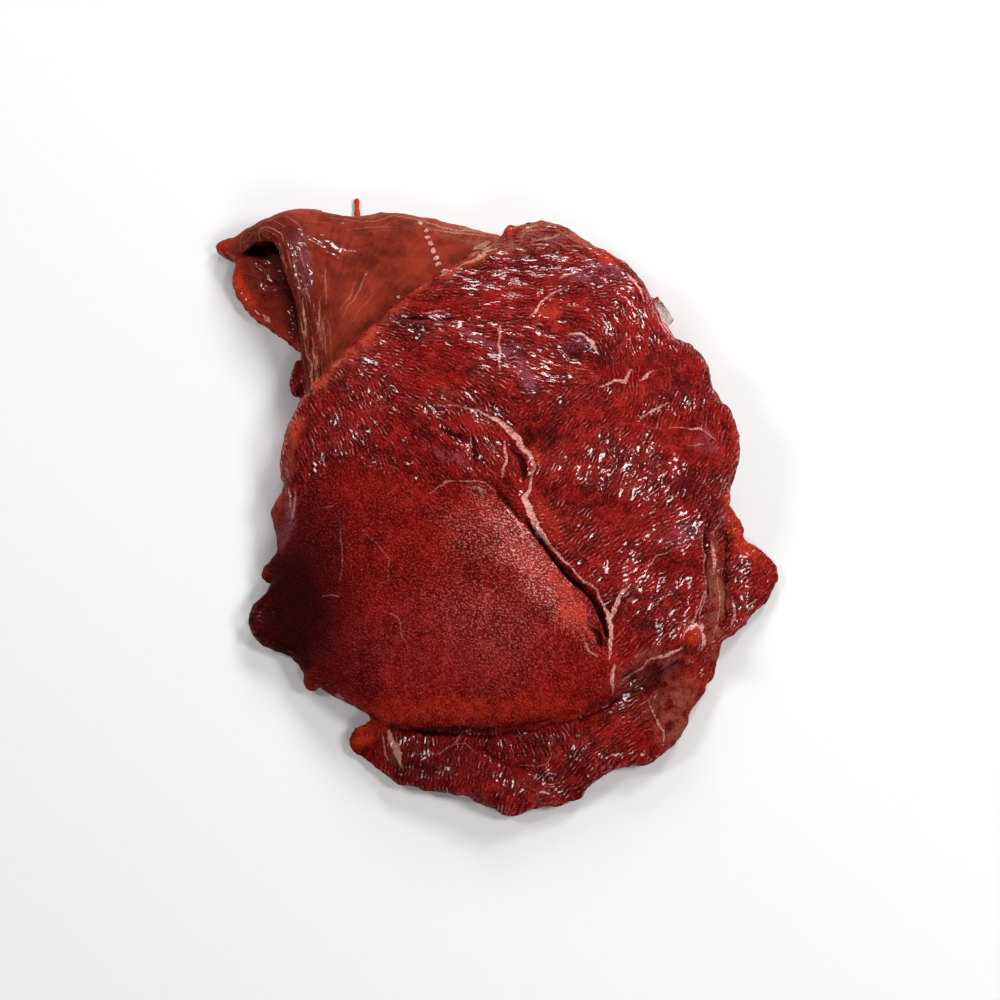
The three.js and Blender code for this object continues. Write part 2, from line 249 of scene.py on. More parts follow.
# Pearls of fat on the flap: x, y, size
beads = [(-25, 99, 0.6), (-23.5, 96, 0.7), (-23, 93, 0.8), (-22, 90.5, 0.8), (-20.8, 88, 0.8),
         (-19.7, 85.2, 0.9), (-18.7, 82, 0.9), (-17, 77, 1), (-45.5, 79, 0.4), (-34, 69.5, 0.5),
         (-43, 72, 0.3)]
for number, (x, y, size) in enumerate(beads):
    folds["bead%d" % number] = ([(x, y - size / 3), (x, y + size / 3)], -0.9 * size, size)


def addObject(name, data):
    made = bpy.data.objects.new(name, data)
    bpy.context.scene.collection.objects.link(made)
    return made


def fineMesh(name, node):
    source = bmesh.new()
    source.from_mesh(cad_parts[node].data)
    bmesh.ops.remove_doubles(source, verts=source.verts, dist=1e-6)
    mesh = bpy.data.meshes.new(name)
    source.to_mesh(mesh)
    source.free()
    piece = addObject(name, mesh)
    remesh = piece.modifiers.new("fine", "REMESH")
    remesh.mode = "VOXEL"
    remesh.voxel_size = steak["voxel"] * mm
    soften = piece.modifiers.new("soften", "SMOOTH")
    soften.factor = 0.5
    soften.iterations = steak["smoothing"]
    applyModifiers(piece)
    return piece


def applyModifiers(piece):
    bpy.context.view_layer.update()
    shown = piece.evaluated_get(bpy.context.evaluated_depsgraph_get())
    finished = bpy.data.meshes.new_from_object(shown)
    old = piece.data
    piece.modifiers.clear()
    piece.data = finished
    finished.name = piece.name
    bpy.data.meshes.remove(old)


def vectorsOf(rows, name):
    values = np.empty(len(rows) * 3, np.float32)
    rows.foreach_get(name, values)
    return values.reshape(-1, 3).astype(float)


def pointsOf(mesh):
    return vectorsOf(mesh.vertices, "co") / mm


def normalsOf(mesh):
    return vectorsOf(mesh.vertex_normals, "vector")


def movePoints(mesh, points):
    mesh.vertices.foreach_set("co", (points * mm).astype(np.float32).ravel())
    mesh.update()


def bundles(place):  # raised strokes along the grain, stamped on a fine raster and read at each point
    cellSize = steak["rasterCell"]
    low = np.array([-110.0, -125.0])
    shape = (730, 830)
    relief = np.zeros(shape)
    random = np.random.default_rng(7)
    spacing = steak["bundleSpacing"]
    spots = np.array([(x, y) for x in np.arange(-100, 100, spacing) for y in np.arange(-118, 110, spacing)])
    spots = spots + random.uniform(-0.6, 0.6, spots.shape) * spacing
    angles = grainAngle(spots) + random.normal(0, steak["bundleTurn"], len(spots))
    lengths = steak["bundleLength"] * random.uniform(0.35, 1.2, len(spots))
    widths = steak["bundleWidth"] * random.uniform(0.7, 1.35, len(spots))
    heights = random.normal(0, 1, len(spots))
    reach = 12  # cells that a stroke covers to each side
    grid = np.mgrid[-reach:reach + 1, -reach:reach + 1] * cellSize
    for (x, y), angle, length, width, height in zip(spots, angles, lengths, widths, heights):
        column, row = int((x - low[0]) / cellSize), int((y - low[1]) / cellSize)
        if not (reach <= column < shape[0] - reach - 1 and reach <= row < shape[1] - reach - 1):
            continue
        along = grid[0] * math.cos(angle) + grid[1] * math.sin(angle)
        across = grid[1] * math.cos(angle) - grid[0] * math.sin(angle)
        stroke = height * np.exp(-((along / length) ** 2) - (across / width) ** 2)
        relief[column - reach:column + reach + 1, row - reach:row + reach + 1] += stroke
    relief /= relief.std()
    spot = np.clip((place[:, :2] - low) / cellSize, 0, np.array(shape) - 2)
    column, row = spot.astype(int).T
    part = spot % 1
    near = relief[column, row] * (1 - part[:, 1]) + relief[column, row + 1] * part[:, 1]
    far = relief[column + 1, row] * (1 - part[:, 1]) + relief[column + 1, row + 1] * part[:, 1]
    return near * (1 - part[:, 0]) + far * part[:, 0]


print("camera")
view = {
    "elevation": 70,  # degrees above the floor
    "distance": 1000,
    "width": 359,  # what the picture shows from side to side at that distance
    "offset": (3.2, -1.1),  # how far the picture's middle is right of and over the origin
    "sensor": 36,  # its width
    "farthest": 10,  # how far it sees, in metres
}


def addCamera():
    camera = bpy.data.cameras.new("camera")
    camera.sensor_width = view["sensor"]
    camera.lens = view["sensor"] * view["distance"] / view["width"]
    camera.clip_end = view["farthest"]
    holder = addObject("camera", camera)
    tilt = math.radians(view["elevation"])
    up = Vector((0, math.sin(tilt), math.cos(tilt)))
    back = Vector((0, -math.cos(tilt), math.sin(tilt)))
    aside = Vector((1, 0, 0))
    holder.location = (back * view["distance"] + aside * view["offset"][0] + up * view["offset"][1]) * mm
    holder.rotation_euler = (math.radians(90) - tilt, 0, 0)
    bpy.context.scene.camera = holder


addCamera()

print("steak: fine mesh")
meat = fineMesh("beefSteak", "beef_steak")
print("  points", len(meat.data.vertices))


def zonesOf(place, normal):  # how far a point belongs to each kind of surface, from 0 to 1
    slab = smooth(insideDepth(place, outlines["slab"]), -1, 1.5) * over(place, 8, 14)
    soft = 1 + 5 * smooth(-place[:, 0], 4, 22)  # how softly the fine muscle ends, most so at the left
    depth = insideDepth(place, outlines["fineMuscle"]) + soft * layered(place, 7, 30)
    fine = smooth(depth / soft, -1, 1.2) * slab
    hood = smooth(insideDepth(place, outlines["hood"]), -0.5, 1) * (1 - slab) * over(place, 7, 9)
    hood = np.maximum(hood, patches(place, skinPatches, 0.3))
    upward = smooth(normal[:, 2], 0.1, 0.7)
    wet = patches(place, wetPatches) * (1 - patches(place, smoothPatches)) * (1 - fine) * upward
    return slab, fine, hood, upward, wet


def closeSeam(place):  # both walls of the open seam drawn in, most where it gapes most
    line = outlines["openSeam"]
    best = np.full(len(place), np.inf)
    pull = np.zeros((len(place), 2))
    for number, (share, offset) in enumerate(stretches(place, line)):
        gap = np.linalg.norm(offset, axis=1)
        nearer = gap < best
        best[nearer] = gap[nearer]
        gape = np.sin(math.pi * ((number + share) / (len(line) - 1)) ** steak["seamGape"])
        pull[nearer] = (-offset / np.maximum(gap, 0.01)[:, None] * gape[:, None])[nearer]
    wall = steak["seamHalfWidth"]
    reach = smooth(best, 0, wall) * np.exp(-((np.maximum(best - wall, 0) / steak["seamFade"]) ** 2))
    reach *= over(place, 12, 20)
    place[:, :2] += steak["seamClosing"] * pull * reach[:, None]


def carve(mesh):
    place = pointsOf(mesh)
    normal = normalsOf(mesh)
    _, fine, hood, upward, wet = zonesOf(place, normal)
    sideways = 1 - np.abs(normal[:, 2])
    dry = steak["dryBundles"]
    rough = (dry + (1 - dry) * wet) * (1 - steak["fineFlatness"] * fine)
    rough *= 1 - steak["skinFlatness"] * hood * (1 - wet)
    lift = steak["bundleHeight"] * bundles(place) * upward * rough
    lumps = layered(place, steak["lumpSize"], 3)
    lift += steak["lumpHeight"] * lumps * (1 - 0.5 * fine) * (1 - 0.5 * hood)
    lumps = layered(place, steak["rimLumpSize"], 11)
    lift += steak["rimRoughness"] * lumps * sideways * (1 - 0.6 * hood)
    for line, depth, spread in folds.values():
        lift -= depth * np.exp(-((gapToLine(place, line) / spread) ** 2)) * upward
    edge = np.exp(-((gapToLine(place, outlines["freeEdge"]) / steak["edgeReach"]) ** 2)) * hood
    lift += steak["edgeLumps"] * layered(place, steak["edgeLumpSize"], 90) * edge * upward
    lift *= 1 - steak["undersideFlatness"] * smooth(-normal[:, 2], 0.5, 0.9)
    place += normal * lift[:, None]
    closeSeam(place)
    place[:, 2] = np.maximum(place[:, 2], 0)
    movePoints(mesh, place)


carve(meat.data)


def nearMarks(place):  # near a fold or a marked line, where the mesh stays fine
    near = np.zeros(len(place), bool)
    for line in [fold[0] for fold in folds.values()] + list(paleLines.values()) + list(tanLines.values()):
        near |= gapToLine(place, line) < steak["markMargin"]
    return near


def thinOut(piece, triangles):
    piece.data.calc_loop_triangles()
    place = pointsOf(piece.data)
    loose = piece.vertex_groups.new(name="loose")
    loose.add(np.flatnonzero(~nearMarks(place) | (normalsOf(piece.data)[:, 2] < 0)).tolist(), 1, "REPLACE")
    thin = piece.modifiers.new("thin", "DECIMATE")
    thin.ratio = min(1, triangles / len(piece.data.loop_triangles))
    thin.vertex_group = loose.name
    thin.use_collapse_triangulate = True
    applyModifiers(piece)
    piece.vertex_groups.clear()
    piece.data.shade_smooth()


# Pale strands of fat and skin on the surface, with a few painted glints and painted sheen among them (the
# glint line on the upper face, the whitish streak on the strip and the streak at the tip): x, y and half
# width at each point
paleLines = {
    "seam": [(-20, 23, 0.25), (-9, 21.5, 0.3), (-4, 20, 0.4), (2, 16.5, 0.6), (6, 12.5, 0.9), (9.5, 8, 0.9),
             (13, 3, 0.7), (14.5, -1.5, 0.45), (14.5, -5, 0.35), (13, -9.5, 0.6), (11.5, -13, 1),
             (13, -17, 1.2), (17.3, -25.2, 0.8), (21.2, -31, 0.5), (25.5, -35.5, 0.45), (30.5, -40.5, 0.35),
             (35.7, -45.5, 0.35), (39, -50, 0.45), (40.8, -56, 0.9), (40.8, -62, 0.7), (41, -68, 0.25)],
    "branch": [(40.5, -56, 0.7), (42.5, -51, 0.9), (45, -47, 0.5), (47.5, -44, 0.2)],
    "slip": [(5, 8.5, 0.2), (5.5, 5, 0.5), (5.5, 1, 0.55), (4.5, -3, 0.4), (4, -7, 0.15)],
    "fineSide": [(6.5, -18, 0.3), (9.5, -22.5, 0.7), (12, -27, 0.5), (15, -31, 0.2)],
    "seamFoot": [(42.5, -70, 0.3), (41.5, -75, 0.7), (42, -79, 0.4)],
    "holeEdge": [(31, -60.5, 0.2), (34, -65.5, 0.5), (37.5, -67.5, 0.2)],
    "overFine": [(-22, -10.5, 0.15), (-17.5, -7.5, 0.3), (-12.5, -6.5, 0.2), (-2, -7, 0.3),
                 (1.5, -10.5, 0.2)],
    "blueGap": [(-7.5, -9, 0.3), (-4.5, -10, 0.6), (-2, -12.5, 0.3)],
    "upper": [(3, 52.5, 0.3), (3, 42.5, 0.4), (2.5, 34.5, 0.3)],
    "backRidge": [(14, 55.5, 0.2), (17, 59.5, 0.5), (20.5, 64, 0.4), (26, 67.5, 0.3)],
    "backLine": [(24.5, 72.5, 0.3), (28.5, 74, 0.4), (32, 76, 0.2)],
    # a painted glint, drawn as a pale line
    "paintedGlintLine": [(-23, 58.5, 0.3), (-19, 59.5, 0.4), (-15.5, 59, 0.2)],
    "ovalRim": [(27, 49, 0.2), (32, 49.5, 0.6), (36, 46, 0.7), (38, 41, 0.2)],
    "right1": [(38, 29, 0.2), (43, 31, 0.5), (47.5, 31, 0.6), (49, 35, 0.3)],
    "right2": [(52.5, 31.5, 0.2), (55, 33.5, 0.5), (58, 36, 0.2)],
    "right3": [(52, 17, 0.2), (57, 20.5, 0.5), (62, 24, 0.2)],
    "right4": [(62, 14, 0.15), (73.5, 15, 0.35), (79, 11, 0.2)],
    "right5": [(69.5, 8, 0.15), (74.5, 9.5, 0.25)],
    "right6": [(53, -36, 0.15), (57, -32.5, 0.3), (63, -30, 0.2), (72, -27, 0.2)],
    "redRight": [(73, -22.5, 0.1), (74, -30, 0.25), (74.5, -41, 0.2), (72, -48.5, 0.25), (69, -54, 0.35)],
    "lens": [(43, -78, 0.1), (48.5, -72.5, 0.25), (55.5, -67.5, 0.3), (62.5, -65, 0.5), (66, -63, 0.4)],
    "nub": [(66.5, -60, 0.2), (68, -57, 0.5), (70.5, -54.5, 1.7), (73.5, -55, 1.1), (74.5, -58, 0.4),
            (73, -61, 0.2)],
    "bulge1": [(-72, -2.5, 0.2), (-70.8, -7.2, 0.4), (-70.3, -11.5, 0.2)],
    "bulge2": [(-69.5, -3, 0.15), (-69, -8, 0.3), (-69.3, -13, 0.4), (-70, -16, 0.15)],
    "fine1": [(-52.5, -16.5, 0.1), (-51.5, -33, 0.25), (-52.5, -40, 0.1)],
    "fine2": [(-44.5, -22.5, 0.1), (-35, -33.5, 0.2), (-36, -42, 0.1)],
    "fine3": [(-36.5, -51.5, 0.15), (-32.5, -53.5, 0.3), (-28, -64.5, 0.15)],
    "fine4": [(2, -44.5, 0.15), (-1.5, -48, 0.3), (-1.5, -55.5, 0.1)],
    "fine5": [(-58.5, -44, 0.15), (-53, -44.5, 0.35)],
    "fine6": [(-17.5, -19.5, 0.1), (-6, -23.5, 0.2), (2, -28, 0.1)],
    "fine7": [(-61.5, -12.5, 0.1), (-55, -13, 0.25)],
    "underSeam": [(55.5, -76.5, 0.1), (55, -80.5, 0.2), (56.5, -85.5, 0.3), (59, -89.5, 0.35),
                  (59.5, -95, 0.2)],
    "under1": [(-9, -89, 0.1), (-12.5, -94.5, 0.25), (-18, -97.5, 0.2), (-26, -98, 0.1)],
    "under2": [(-12.5, -94.5, 0.2), (-8, -94.5, 0.25), (-4, -97.5, 0.1)],
    "under3": [(21.5, -92, 0.1), (20.5, -98, 0.2), (18.5, -101.5, 0.2), (10, -101.5, 0.1)],
    # a painted whitish sheen on the strip
    "paintedStripSheen": [(77.8, -21.5, 0.3), (78.3, -26.5, 0.8), (78.5, -33, 0.2)],
    "strip3": [(80.5, -30, 0.1), (80.5, -40, 0.25), (79.5, -50, 0.2), (77, -60, 0.1)],
    "strip2": [(77.5, -36, 0.1), (75.5, -42, 0.2), (72.5, -49.5, 0.25), (71, -56, 0.15)],
    # a painted glint at the tip
    "paintedTipGlint": [(85, -40, 0.2), (85, -46.5, 0.6), (84, -52, 0.2)],
    "lipFat": [(-84, 69, 0.2), (-81.5, 67, 0.6), (-79.5, 65, 0.2)],
    "upper1": [(20.5, 78, 0.2), (22.5, 76.5, 0.35), (25.5, 77.5, 0.3)],
    "upper2": [(25.5, 73, 0.3), (29, 74, 0.5), (30.5, 76.5, 0.25)],
    "upper3": [(4, 67, 0.15), (7.5, 66, 0.3), (10.5, 65, 0.15)],
    "upper4": [(4.5, 76, 0.2), (8, 76, 0.3)],
    "film": [(49, 76, 0.3), (51.5, 73, 0.6), (53.5, 69, 0.6), (55, 65, 0.3)],
    "filmFoot": [(61.5, 61, 0.3), (62.5, 57, 0.8), (65, 52, 0.4)],
    "filmSide": [(59, 62, 0.2), (60.5, 57, 0.4), (62.5, 52.5, 0.2)],
}
# Cream and tan ones
tanLines = {
    "underFat": [(-35, -89, 0.3), (-34.2, -92, 1), (-32.5, -95, 0.9), (-31.5, -98, 1.1), (-31, -102, 0.3)],
    "underFat2": [(-37, -90, 0.2), (-36.5, -94, 0.4), (-34.5, -99, 0.3)],
    "feather1": [(-6.5, 89.5, 0.6), (-3.5, 90, 1.4), (-1.5, 91.5, 0.8)],
    "feather2": [(-9, 86.5, 0.3), (-6, 87.5, 0.6), (-2.5, 86, 0.9), (-0.5, 87.2, 0.6)],
    "feather3": [(-10.5, 84.5, 0.3), (-7, 83.3, 0.6), (-4.5, 84.8, 0.6)],
    "feather4": [(-10, 80, 0.4), (-6, 80.5, 0.8), (-3.5, 83, 1.1), (-1, 85, 0.8), (2, 86, 0.3)],
    "feather5": [(-13, 77, 0.3), (-9.5, 79.5, 0.4), (-6, 80, 0.3)],
    "feather6": [(-4.5, 82, 0.4), (-3, 83.5, 0.5), (0.5, 85.5, 0.2)],
    "low1": [(-18.5, 73.5, 0.3), (-17, 75, 0.7), (-16, 75, 0.4)],
    "low2": [(-16.5, 71, 0.2), (-14, 71.5, 0.35)],
    "low3": [(-12, 75, 0.2), (-10, 75.5, 0.35)],
    "back1": [(-59.5, 100.5, 0.1), (-47.5, 99.5, 0.25), (-35.5, 102, 0.3), (-26.5, 100.5, 0.3),
              (-18.5, 98.5, 0.4), (-12.5, 96.5, 0.45), (-6.5, 96.5, 0.4), (2, 95, 0.25)],
    "back2": [(-53, 95.5, 0.1), (-42, 97, 0.25), (-33, 99.5, 0.1)],
    "back3": [(-24, 97, 0.2), (-18.5, 96.5, 0.35), (-13.5, 95.5, 0.4), (-8, 94.5, 0.35), (-1.5, 94, 0.25),
              (4.5, 93.5, 0.15)],
    "back4": [(-12, 98.5, 0.3), (-4, 97.5, 0.4), (-1, 95.5, 0.2)],
    "edge1": [(10.5, 91.5, 0.3), (13.5, 94, 0.5), (17, 95.5, 0.3)],
    "edge2": [(10.5, 90, 0.2), (12.5, 92, 0.4), (15, 93, 0.4), (20.5, 93.5, 0.2)],
    "edge3": [(14.5, 88, 0.2), (17.5, 89, 0.4), (22, 90, 0.5), (25, 91.5, 0.3)],
    "edge4": [(15, 87.5, 0.2), (19.5, 87, 0.35), (23, 86.5, 0.15)],
    "edge5": [(26.5, 86, 0.15), (30.5, 86, 0.35), (34, 85.5, 0.15)],
    "streak1": [(-45, 80, 0.1), (-46.5, 74, 0.3), (-50, 68, 0.25), (-54, 60.5, 0.1)],
    "streak2": [(-48, 76, 0.1), (-51, 69.5, 0.25), (-54, 64, 0.1)],
    "streak3": [(-42.5, 71, 0.1), (-46, 66, 0.2), (-49, 61, 0.1)],
    "edge6": [(-67, 53, 0.2), (-65, 44, 0.5), (-63.5, 34.5, 0.3)],
    "edge7": [(-64, 54.5, 0.2), (-63, 46.5, 0.4), (-62, 37, 0.3)],
    "edge8": [(-60, 80, 0.2), (-60, 74.5, 0.35), (-59, 66.5, 0.1)],
    "edge9": [(-68, 69.5, 0.2), (-67, 62.5, 0.45), (-66, 54.5, 0.3)],
    "edge10": [(-61.5, 70, 0.1), (-61.5, 62.5, 0.35), (-62.5, 55.5, 0.2)],
    "edge11": [(-72, 86, 0.1), (-70.5, 79.5, 0.35), (-69, 72, 0.2)],
}
for number, (x, y, size) in enumerate(beads):
    paleLines["bead%d" % number] = [(x - size / 3, y, 1.05 * size), (x + size / 3, y, 1.05 * size)]
# Painted shade along creases, grooves, hollows and the open seam: x, y and half width at each point
darkLines = {
    "crackTop": [(2, -11, 0.15), (4.5, -13.5, 0.5), (7, -16.5, 0.5), (10, -20.5, 0.2)],
    "crack": [(17, -29.5, 0.15), (20.5, -34, 0.25), (24, -38.5, 0.3), (29, -43.5, 0.3), (34, -48.3, 0.3),
              (37.3, -53, 0.25), (38.8, -58, 0.3), (39.6, -63, 0.2)],
    "hole": [(33.5, -56, 0.2), (35, -58, 1), (37, -61.5, 1.1), (38, -64, 0.3)],
    "hollowLeft": [(-20, 14.5, 0.2), (-14, 11, 0.7), (-8, 7.5, 0.3)],
    "hollowUpright": [(-6.5, 8, 0.3), (-6, 2.5, 0.6), (-6.5, -2, 0.2)],
    "hollowSeam": [(7.5, 6, 0.4), (10.5, 1.5, 1.2), (11.5, -3, 1.1), (11.5, -6.5, 0.4)],
    "backCrease": [(-34, 58, 0.2), (-26, 57, 0.6), (-17, 55.5, 0.5), (-8, 55, 0.2)],
    "groove": [(-38.5, -87, 0.25), (-29.5, -89.3, 0.5), (-19.5, -90.8, 0.6), (-10.5, -90.8, 0.5),
               (5, -90.8, 0.4), (20.5, -87.8, 0.4), (30.5, -85.8, 0.4), (41, -81.2, 0.4), (47.5, -77.5, 0.3),
               (56.5, -72, 0.15)],
    "stripGroove": [(78.5, -13, 0.2), (76.5, -18, 0.4), (75, -23.5, 0.6), (74.5, -27.5, 0.6), (75, -32, 0.6),
                    (76, -37, 0.5), (75.5, -42, 0.4), (73, -49, 0.2)],
    "tipEdge": [(83, -12, 0.2), (83.5, -18, 0.35), (83, -24, 0.45), (83, -29.5, 0.5), (82.5, -36, 0.45),
                (82, -42, 0.4), (82, -48, 0.35), (81, -53.5, 0.2)],
    "underCrease": [(-3, -93, 0.1), (0, -97.5, 0.3), (5, -100.5, 0.4), (12, -102.5, 0.35), (19, -105.5, 0.4),
                    (25, -107.5, 0.15)],
}


thinOut(meat, steak["triangles"])
print("  triangles", len(meat.data.polygons))

print("steak: marks")


def setAttribute(mesh, name, values, domain="POINT"):
    layer = mesh.attributes.new(name, "FLOAT", domain)
    layer.data.foreach_set("value", np.ascontiguousarray(values, np.float32).ravel())


marking = {
    "wander": 0.8,  # how far a drawn line strays from its points
    "lumps": 5,  # in lumps of what size
    "reach": 4.0,  # how far from it a triangle still belongs to it
    "nowhere": 99.0,  # the distance where there is no line
}


# For each triangle its nearest line: at each corner the signed distance to it, and its half width there
def markLines(mesh, name, lines):
    corners = np.empty(len(mesh.loops), np.int32)
    mesh.loops.foreach_get("vertex_index", corners)
    place = pointsOf(mesh)
    for axis, salt in enumerate((70, 80)):
        place[:, axis] += marking["wander"] * layered(place, marking["lumps"], salt)
    spots = place[corners].reshape(-1, 3, 3)[..., :2]
    upward = normalsOf(mesh)[corners].reshape(-1, 3, 3)[:, 0, 2] > 0.05
    middle = spots.mean(axis=1)
    gap = np.full(len(middle), marking["reach"])
    across = np.full(spots.shape[:2], marking["nowhere"])
    width = np.zeros(spots.shape[:2])
    for line in lines.values():
        for (x0, y0, w0), (x1, y1, w1), (_, offset) in zip(line, line[1:], stretches(middle, line)):
            start, step = np.array((x0, y0)), np.array((x1 - x0, y1 - y0))
            away = np.linalg.norm(offset, axis=1)
            nearer = upward & (away < gap)
            gap[nearer] = away[nearer]
            offset = spots[nearer] - start
            reach = np.clip(offset @ step / (step @ step), 0, 1)
            side = (offset[..., 0] * step[1] - offset[..., 1] * step[0]) / np.linalg.norm(step)
            beyond = np.linalg.norm(offset - reach[..., None] * step, axis=2)
            straight = (np.abs(side) > 0.9 * beyond).all(axis=1, keepdims=True)  # not past the line's end
            across[nearer] = np.where(straight, side, beyond)
            width[nearer] = w0 + (w1 - w0) * reach
    setAttribute(mesh, name + "Across", across, "CORNER")
    setAttribute(mesh, name + "Width", width, "CORNER")


# Coloured patches: x, y, half length, half width, turn in degrees, strength
# painted shade in the cave under the flap
caveShadePatches = [(-84, 94.5, 7, 3.2, -10, 1.2)]
# painted shade: darker towards the left and bottom of the fine muscle, over the under muscle, and in hollows
# and the oval hole
shadePatches = [(56, -71, 12, 2.5, 24, 0.6), (-70, -45, 36, 20, 100, 1.05), (-8, -100, 34, 11, -3, 0.42),
                (-80, -50, 14, 12, 0, 0.6), (-62, -62, 22, 12, -40, 0.7), (17, 8, 8, 4, 0, 0.55),
                (-30, 56, 14, 3, -8, 0.5), (-27, -102, 10, 5, -20, 0.8), (-10, -105, 12, 6, 0, 0.4),
                (70, -7, 5, 6, 0, 0.6), (30.5, 45, 5, 3.5, 0, 0.6), (20, -106, 9, 3, -20, 0.4),
                (10, 74, 12, 4, 0, 0.25), (60, -55, 8, 5, 0, 0.3)]
# orange bits of the meat itself, and painted glow on translucent rims and on the lit wall of the open seam
orangeAndPaintedGlowPatches = [(28, -50, 12, 4, -52, 0.75), (15.5, 0, 5, 2.5, 80, 0.8), (19, -19, 9, 3, -60, 0.35),
               (86, -14, 8, 4, -75, 1.1), (90, -21, 4, 4, 0, 0.7), (-46, -89, 5, 4, 0, 0.8),
               (-100, 95, 4, 3, 0, 1), (6, 94, 3, 3, 0, 1), (70, -60, 3, 4, 0, 0.8), (42, 84, 6, 3, -35, 0.8),
               (-49, 117, 4, 5, 0, 1.6), (-80, -32, 3, 4, 0, 1.3), (-63.5, -71, 4, 4, 0, 1),
               (-77, -13, 2.5, 10, 0, 1), (-84, -53, 4, 2, 60, 0.7), (20, 60, 5, 3, 45, 0.5),
               (-10, -84, 45, 4, 0, 0.35), (88, 12, 3, 16, 0, 0.5), (-95, 84, 3, 7, 0, 1.5),
               (-91, 77, 7, 2.5, -50, 1.1)]
# painted sheen on the fine muscle beside the open seam
paintedSheenPatches = [(15.5, -36, 23, 6.5, -52, 1), (4, -23, 8, 4, -50, 0.7), (-6, -26, 12, 7, -30, 0.25),
                (0, -55, 20, 14, -40, 0.15)]
# lilac tint of silverskin and film; along the streak over the top of the face it is also a painted reflection
# on the silverskin
lilacPatches = [(-3, 47, 8, 1.6, -28, 0.8), (6, 40, 7, 1.8, -45, 1), (12, 31, 6, 1.8, -60, 1),
                (20, 90, 8, 1.5, 5, 0.9), (34, 73, 7, 2, 5, 0.6), (76, 10, 4, 5, 40, 0.3),
                (-15, 2, 8, 1.5, -30, 0.5), (42, 78, 8, 4, -35, 0.45), (30.5, 45, 5, 3, 0, 0.5),
                (66, -24, 6, 3, 20, 0.5), (-69, 83, 4, 11, 10, 0.6), (-72, -14, 2.6, 9, 0, 0.7),
                (-18, -62, 36, 15, -5, 0.1), (64, -68, 5, 2, 30, 0.6)]
tanPatches = [(0, 91, 14, 6, -30, 0.8), (-10, 97, 22, 4, -10, 0.7), (28, 93, 16, 2.5, -20, 0.7),
              (55, -70, 14, 3.5, 24, 0.4), (79, -41, 3.5, 20, 0, 1), (65, -84, 10, 13, 0, 0.75),
              (-72, -14, 2.5, 9, 0, 0.5), (-32, -95, 2, 7, 15, 0.8), (-55, 104, 30, 2.5, 0, 0.5),
              (71, -55, 3, 3, 0, 0.7)]
filmPatches = [(63.5, 63.5, 5.5, 4, -50, 1)]  # on the scrap that stands off the back rim
rindPatches = [(20, 91, 15, 5, -4, 1), (38, 83, 10, 3.5, -35, 0.7), (4, 89, 8, 6, -20, 0.9)]
# The rim of the slab beside the flap, with a band of painted glow as of light through its thin edge; the band
# also takes the tan stain colour
paintedGlowRim = [(-14.5, 76.5), (-32.5, 63.5), (-43, 51.5), (-54, 43), (-65, 33.5), (-70, 28.5), (-70.5, 18.5),
           (-73.8, 8), (-75.8, -7)]
marked = {
    "rim": 1.2,  # strength of the painted glow along that rim
    "rimWidth": 3.1,
    "rimGaps": 5,  # size of the gaps in it
    "besideEdge": 0.9,  # how dark the painted shade beside the free edge of the flap is
    "besideWidth": 4,
    "slants": ((0, 0), (0.7, 0), (-0.7, 0), (0, 0.7), (0, -0.7)),  # of the rays that look for shelter
    "start": 0.5,  # how far off the surface they start
}


def tuckedIn(mesh):  # share of the sky, or of the floor for what faces down, that the meat hides nearby
    place = pointsOf(mesh)
    normal = normalsOf(mesh)
    tree = BVHTree.FromPolygons(place.tolist(), [face.vertices[:] for face in mesh.polygons])
    side = np.where(normal[:, 2] > -0.2, 1, -1)
    starts = (place + marked["start"] * normal).tolist()
    share = np.zeros(len(place))
    for slant in marked["slants"]:
        for number, (start, up) in enumerate(zip(starts, side.tolist())):
            share[number] += tree.ray_cast(start, (*slant, up), steak["shelter"])[0] is not None
    return share / len(marked["slants"])


